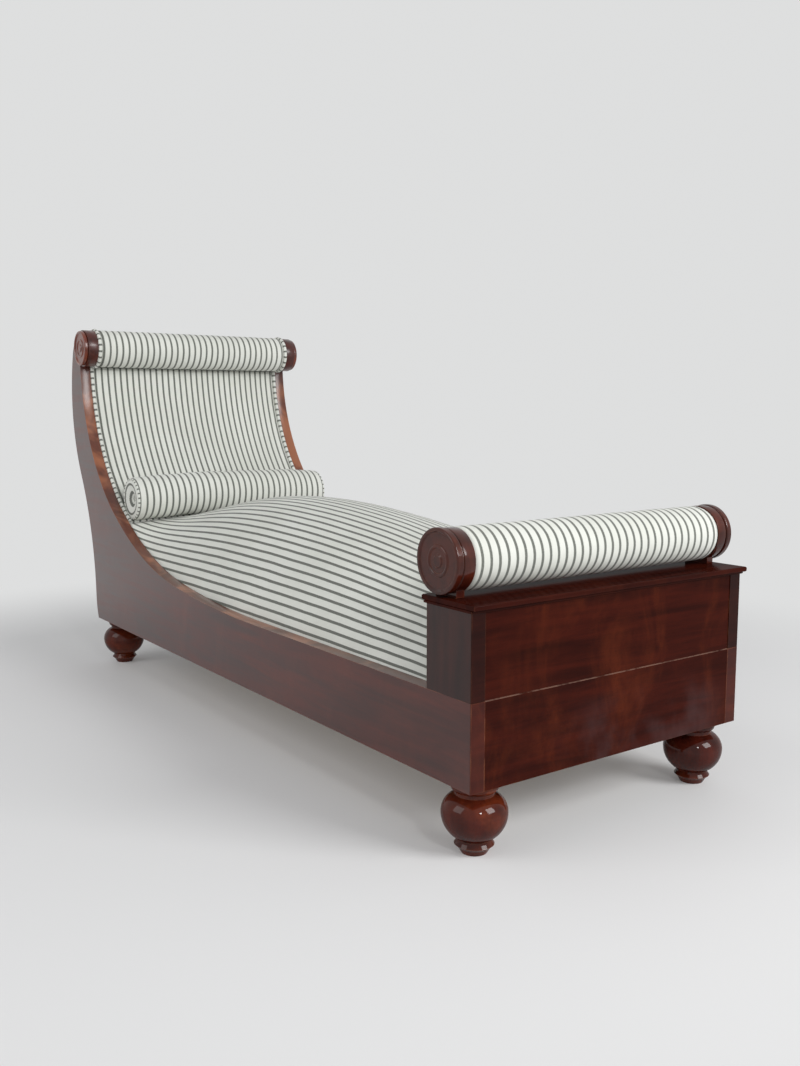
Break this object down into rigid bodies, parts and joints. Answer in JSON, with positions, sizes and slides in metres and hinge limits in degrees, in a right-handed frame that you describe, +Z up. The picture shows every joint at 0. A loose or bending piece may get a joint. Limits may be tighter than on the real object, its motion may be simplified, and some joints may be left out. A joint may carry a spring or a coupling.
{
  "type": "recamier",
  "caption": "upholstered day bed with a high scrolled head end, a low box foot end carrying a roll, lift-out domed seat, loose bolster and turned bulb feet",
  "frame": {"origin": "on the floor, at the middle of the overall length and width", "axes": "+X towards the low foot end, +Y across the seat towards the left side, +Z up"},
  "size_m": [1.9645, 0.722, 1.0048],
  "materials": {
    "mahogany": "french polished, glossy",
    "hidden_timber": "plain sawn",
    "striped_fabric": "woven stripe",
    "webbing": "jute weave",
    "steel_screw": "plain"
  },
  "bodies": {
    "frame": {"side_panel_right": "mahogany", "foot_cheek_right": "mahogany", "foot_roundel_right": "mahogany", "foot_roll_collar_right": "mahogany", "foot_roll_block_right": "mahogany", "head_roundel_right": "mahogany", "roll_welt_right": "striped_fabric", "back_welt_right": "striped_fabric", "seat_ledger_right": "hidden_timber", "corner_block_foot_right": "hidden_timber", "foot_foot_right": "mahogany", "corner_block_head_right": "hidden_timber", "foot_head_right": "mahogany", "side_panel_left": "mahogany", "foot_cheek_left": "mahogany", "foot_roundel_left": "mahogany", "foot_roll_collar_left": "mahogany", "foot_roll_block_left": "mahogany", "head_roundel_left": "mahogany", "roll_welt_left": "striped_fabric", "back_welt_left": "striped_fabric", "seat_ledger_left": "hidden_timber", "corner_block_foot_left": "hidden_timber", "foot_foot_left": "mahogany", "corner_block_head_left": "hidden_timber", "foot_head_left": "mahogany", "foot_rail_lower": "mahogany", "foot_panel_upper": "mahogany", "foot_inner_board": "mahogany", "foot_cap_moulding": "mahogany", "foot_cap": "mahogany", "head_bottom_rail": "mahogany", "foot_roll_core": "hidden_timber", "head_roll_core": "hidden_timber", "back_top_rail": "hidden_timber", "back_middle_rail": "hidden_timber", "back_lower_rail": "hidden_timber", "foot_roll_pad": "striped_fabric", "head_roll_pad": "striped_fabric", "back_pad": "striped_fabric", "outside_back_cover": "striped_fabric", "back_webbing": "webbing", "frame_screws": "steel_screw"},
    "seat": {"seat_rail_right": "hidden_timber", "seat_rail_left": "hidden_timber", "seat_rail_foot": "hidden_timber", "seat_rail_head": "hidden_timber", "seat_bar_foot": "hidden_timber", "seat_bar_head": "hidden_timber", "seat_pad": "striped_fabric", "seat_webbing": "webbing", "seat_hessian": "webbing"},
    "bolster": {"bolster": "striped_fabric"}
  },
  "joints": [
    {"name": "seat_lift", "type": "slide", "parent": "frame", "child": "seat", "axis": [-0.0995, 0, 0.995], "range_m": [0, 0.3]},
    {"name": "bolster_lift", "type": "slide", "parent": "seat", "child": "bolster", "axis": [0, 0, 1], "range_m": [0, 0.25]}
  ]
}
